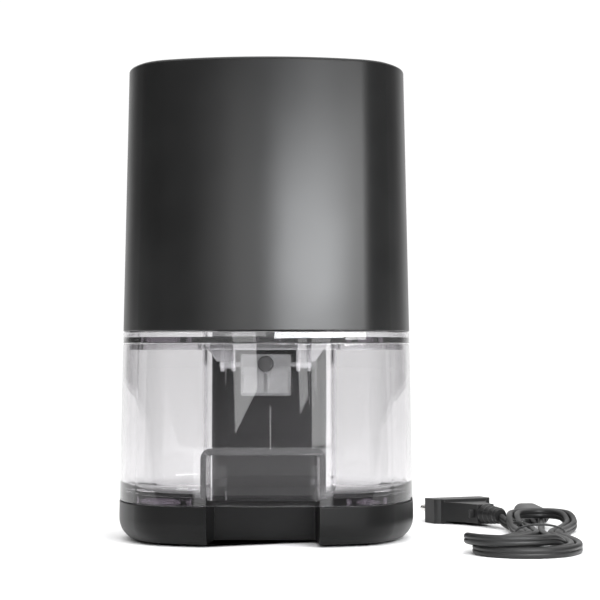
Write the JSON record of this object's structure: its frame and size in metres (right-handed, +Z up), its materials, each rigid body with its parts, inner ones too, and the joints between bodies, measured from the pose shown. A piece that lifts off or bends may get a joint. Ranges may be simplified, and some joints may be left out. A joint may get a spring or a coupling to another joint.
{
  "type": "dehumidifier",
  "caption": "Desktop Peltier dehumidifier: tapered black housing on a rear column over a clear slide-out water tank with float, plus a hanked detachable mains lead.",
  "frame": {"origin": "on the floor, under the middle of the unit's bounding box without its lead", "axes": "+Z up, -Y towards the front with the finger pocket, +X to the right as seen from the front"},
  "size_m": [0.2401, 0.2427, 0.24],
  "materials": {
    "shell_black": "satin moulded plastic",
    "base_black": "fine matt moulded plastic",
    "tank_clear": "clear polished plastic",
    "float_frosted": "slightly frosted translucent plastic",
    "magnet_metal": "plain sintered metal",
    "foot_rubber": "matt rubber",
    "screw_steel": "zinc-plated steel",
    "pin_nickel": "nickel-plated brass",
    "heatsink_aluminium": "extruded aluminium",
    "insulation_foam": "closed-cell foam",
    "peltier_ceramic": "white ceramic",
    "fan_plastic": "glass-filled plastic",
    "winding_copper": "enamelled copper wire and yellow tape",
    "circuit_board": "green solder mask",
    "capacitor_sleeve": "shrink sleeve",
    "lamp_clear": "clear lens",
    "lead_black": "soft black PVC"
  },
  "bodies": {
    "housing": {"base": "base_black", "base_plate": "base_black", "foot_front_left": "foot_rubber", "foot_front_right": "foot_rubber", "foot_rear_left": "foot_rubber", "foot_rear_right": "foot_rubber", "base_screw_front_left": "screw_steel", "base_screw_front_right": "screw_steel", "base_screw_rear_left": "screw_steel", "base_screw_rear_right": "screw_steel", "rear_column": "base_black", "column_screw_left": "screw_steel", "column_screw_right": "screw_steel", "outer_shell": "shell_black", "top_cover": "shell_black", "rear_grille": "base_black", "inner_tray": "base_black", "drip_funnel": "base_black", "rear_screw_left": "screw_steel", "rear_screw_right": "screw_steel", "cold_heatsink": "heatsink_aluminium", "insulation_frame": "insulation_foam", "peltier_module": "peltier_ceramic", "hot_heatsink": "heatsink_aluminium", "clamp_screw_left": "screw_steel", "clamp_screw_right": "screw_steel", "fan_frame": "fan_plastic", "fan_stator": "winding_copper", "fan_screw_front_left": "screw_steel", "fan_screw_front_right": "screw_steel", "fan_screw_rear_left": "screw_steel", "fan_screw_rear_right": "screw_steel", "tact_switch": "screw_steel", "lamp_lens": "lamp_clear", "control_board": "circuit_board", "power_board": "circuit_board", "transformer": "winding_copper", "capacitor": "capacitor_sleeve", "inlet_socket": "base_black", "inlet_pin_left": "pin_nickel", "inlet_pin_right": "pin_nickel", "reed_switch": "circuit_board", "lead_hank": "lead_black", "lead_tie": "lead_black", "lead_plug": "lead_black", "plug_pin_left": "pin_nickel", "plug_pin_right": "pin_nickel", "lead_connector": "lead_black", "lead_cord_start": "lead_black", "lead_cord_end": "lead_black"},
    "tank_drawer": {"tank": "tank_clear", "tank_lid": "tank_clear"},
    "float_arm": {"float": "float_frosted", "float_magnet": "magnet_metal"},
    "fan_wheel": {"fan_rotor": "fan_plastic", "fan_shaft": "screw_steel"},
    "power_key": {"power_button": "shell_black"}
  },
  "joints": [
    {"name": "tank_slide", "type": "slide", "parent": "housing", "child": "tank_drawer", "axis": [0, -1, 0], "range_m": [0, 0.14]},
    {"name": "float_swing", "type": "hinge", "parent": "tank_drawer", "child": "float_arm", "pos_m": [0, -0.01, 0.089], "axis": [1, 0, 0], "range_deg": [0, 35]},
    {"name": "fan_spin", "type": "hinge", "parent": "housing", "child": "fan_wheel", "pos_m": [0, 0.006, 0.22], "axis": [0, 0, 1], "continuous": true},
    {"name": "power_press", "type": "slide", "parent": "housing", "child": "power_key", "axis": [0, 0, -1], "range_m": [0, 0.0015], "stiffness_N_per_m": 1500}
  ]
}
